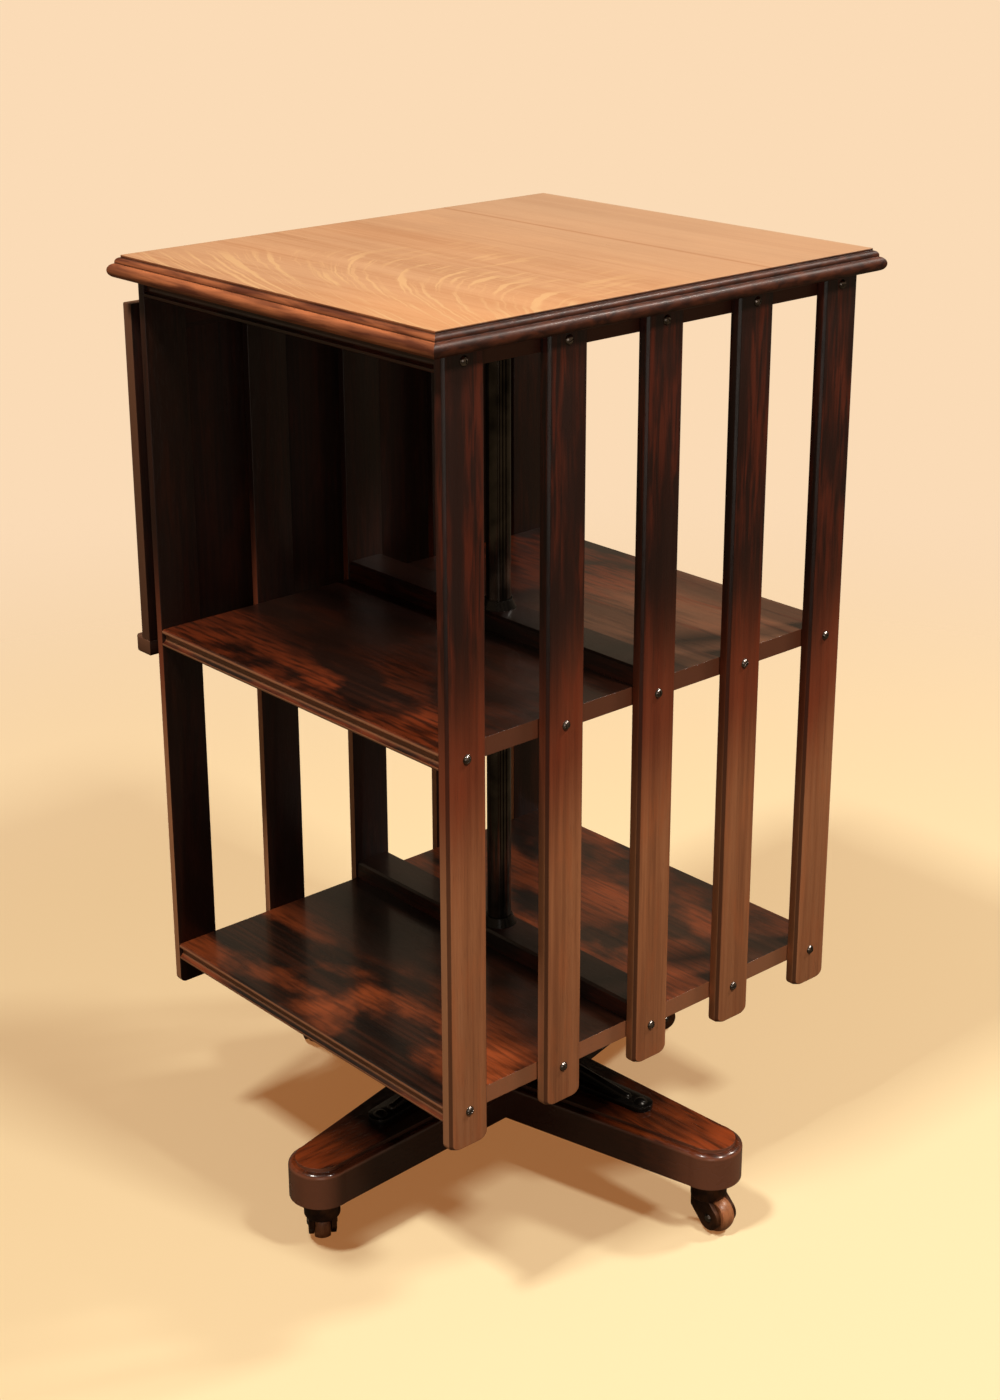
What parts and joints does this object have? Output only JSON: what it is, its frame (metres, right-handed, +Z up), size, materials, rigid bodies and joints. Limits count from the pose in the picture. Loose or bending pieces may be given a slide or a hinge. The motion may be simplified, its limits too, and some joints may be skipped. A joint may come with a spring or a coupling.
{
  "type": "revolving bookcase",
  "caption": "Slatted two-tier oak bookcase that turns on an iron post over a moulded cross base with castors, with a hinged book flap on one side.",
  "frame": {"origin": "on the floor under the axis of the post", "axes": "+Z up along the post; the open book faces look along -Y and +Y, the slatted sides along +X and -X, and the book flap hangs on the -X side"},
  "size_m": [0.5344, 0.5344, 0.84],
  "materials": {
    "oak_case": "dark polished oak",
    "oak_top": "golden polished oak",
    "oak_base": "dark glossy oak",
    "iron": "black, worn",
    "steel": "darkened",
    "brass": "brown patina",
    "wheel_wood": "waxed, worn"
  },
  "bodies": {
    "base": {"base_beam_lower": "oak_base", "base_beam_upper": "oak_base", "iron_spider": "iron", "spider_screws": "steel", "centre_post": "iron", "post_washer": "steel", "post_nut": "steel", "castor_sockets": "brass"},
    "case": {"top_board": "oak_top", "carcass_top": "oak_case", "middle_shelf": "oak_case", "bottom_shelf": "oak_case", "middle_rail": "oak_case", "bottom_rail": "oak_case", "middle_bush": "iron", "bottom_bush": "iron", "pivot_cup": "iron", "slat_right_1": "oak_case", "slat_right_2": "oak_case", "slat_right_3": "oak_case", "slat_right_4": "oak_case", "slat_right_5": "oak_case", "slat_left_1": "oak_case", "slat_left_2": "oak_case", "slat_left_3": "oak_case", "slat_left_4": "oak_case", "slat_left_5": "oak_case", "slat_screws_right": "steel", "slat_screws_left": "steel", "hinge_rail": "oak_case", "hinge_fixed_leaves": "brass", "hinge_pins": "steel"},
    "flap": {"flap_board": "oak_case", "flap_ledge": "oak_case", "hinge_moving_leaves": "brass"},
    "castor_1": {"castor_horn_1": "brass", "castor_axle_1": "steel"},
    "wheel_1": {"castor_wheel_1": "wheel_wood"},
    "castor_2": {"castor_horn_2": "brass", "castor_axle_2": "steel"},
    "wheel_2": {"castor_wheel_2": "wheel_wood"},
    "castor_3": {"castor_horn_3": "brass", "castor_axle_3": "steel"},
    "wheel_3": {"castor_wheel_3": "wheel_wood"},
    "castor_4": {"castor_horn_4": "brass", "castor_axle_4": "steel"},
    "wheel_4": {"castor_wheel_4": "wheel_wood"}
  },
  "joints": [
    {"name": "case_spin", "type": "hinge", "parent": "base", "child": "case", "pos_m": [0, 0, 0.187], "axis": [0, 0, 1], "continuous": true},
    {"name": "flap_hinge", "type": "hinge", "parent": "case", "child": "flap", "pos_m": [-0.20795, 0, 0.7993], "axis": [0, 1, 0], "range_deg": [0, 80]},
    {"name": "castor_1_swivel", "type": "hinge", "parent": "base", "child": "castor_1", "pos_m": [0.03445, -0.23903, 0.052], "axis": [0, 0, 1], "continuous": true},
    {"name": "wheel_1_spin", "type": "hinge", "parent": "castor_1", "child": "wheel_1", "pos_m": [0.02533, -0.23288, 0.016], "axis": [-0.5592, -0.829, 0], "continuous": true},
    {"name": "castor_2_swivel", "type": "hinge", "parent": "base", "child": "castor_2", "pos_m": [0.23903, 0.03445, 0.052], "axis": [0, 0, 1], "continuous": true},
    {"name": "wheel_2_spin", "type": "hinge", "parent": "castor_2", "child": "wheel_2", "pos_m": [0.25003, 0.03445, 0.016], "axis": [0, 1, 0], "continuous": true},
    {"name": "castor_3_swivel", "type": "hinge", "parent": "base", "child": "castor_3", "pos_m": [-0.03445, 0.23903, 0.052], "axis": [0, 0, 1], "continuous": true},
    {"name": "wheel_3_spin", "type": "hinge", "parent": "castor_3", "child": "wheel_3", "pos_m": [-0.0316, 0.24966, 0.016], "axis": [-0.9659, 0.2588, 0], "continuous": true},
    {"name": "castor_4_swivel", "type": "hinge", "parent": "base", "child": "castor_4", "pos_m": [-0.23903, -0.03445, 0.052], "axis": [0, 0, 1], "continuous": true},
    {"name": "wheel_4_spin", "type": "hinge", "parent": "castor_4", "child": "wheel_4", "pos_m": [-0.24923, -0.03032, 0.016], "axis": [-0.3746, -0.9272, 0], "continuous": true}
  ]
}
